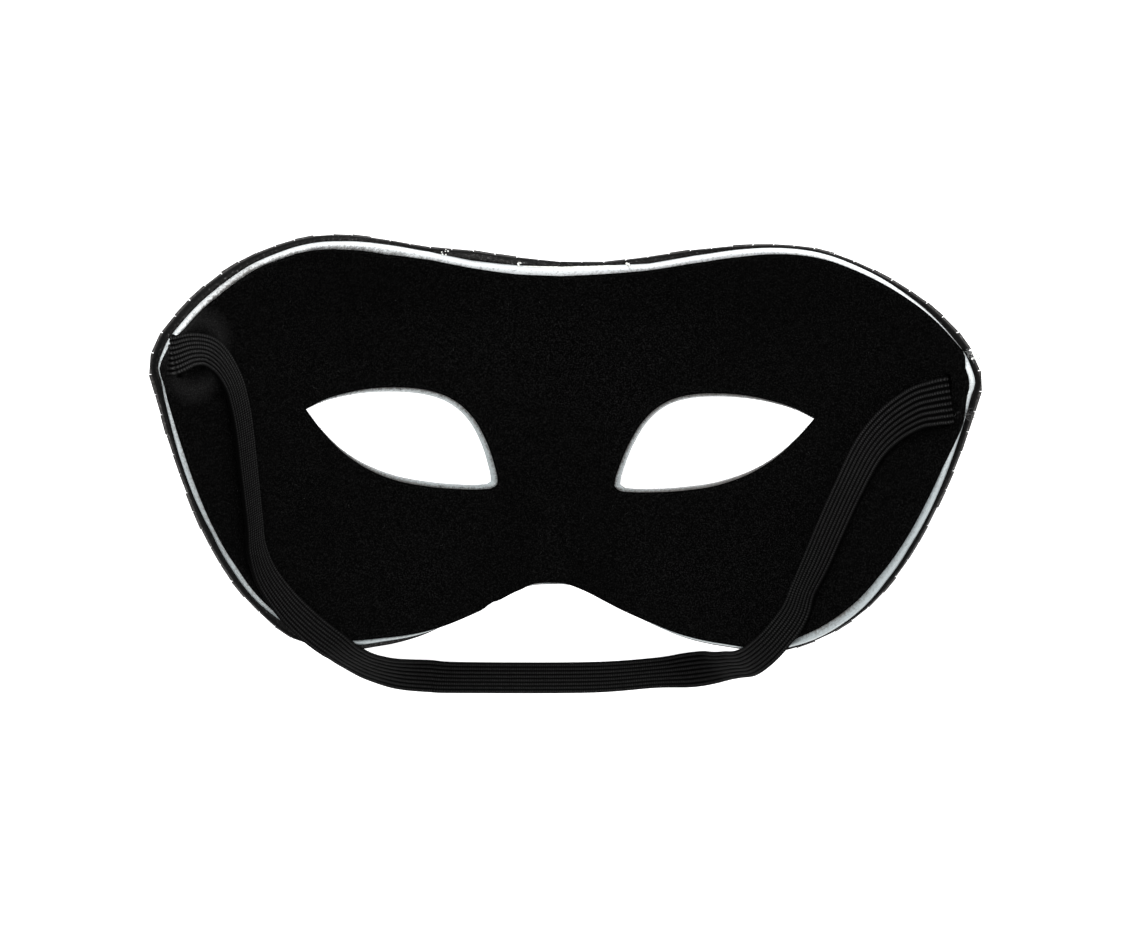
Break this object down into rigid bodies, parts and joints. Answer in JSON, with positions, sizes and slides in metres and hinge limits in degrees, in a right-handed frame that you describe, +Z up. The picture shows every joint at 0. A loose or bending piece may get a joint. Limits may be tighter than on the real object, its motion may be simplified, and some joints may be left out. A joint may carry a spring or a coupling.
{
  "type": "party eye mask",
  "caption": "Half-face party eye mask with a moulded base, flocked lining, mosaic-covered front and a flat elastic head strap.",
  "frame": {"origin": "bottom centre of the box of the mask without its strap, on the surface that it lies on", "axes": "the mask lies on its front: +X across the face, +Y towards the brow, +Z up, out of the hollow towards the wearer"},
  "size_m": [0.1852, 0.1173, 0.0539],
  "materials": {
    "mask_base": "white to silver-grey moulded plastic, satin to glossy",
    "lining": "matte black flock",
    "mosaic_cover": "dark smoky mirror mosaic",
    "elastic_strap": "black braided elastic, eight ribs"
  },
  "bodies": {
    "root": {"mask_base": "mask_base", "lining": "lining", "mosaic_cover": "mosaic_cover", "elastic_strap": "elastic_strap"}
  },
  "joints": []
}
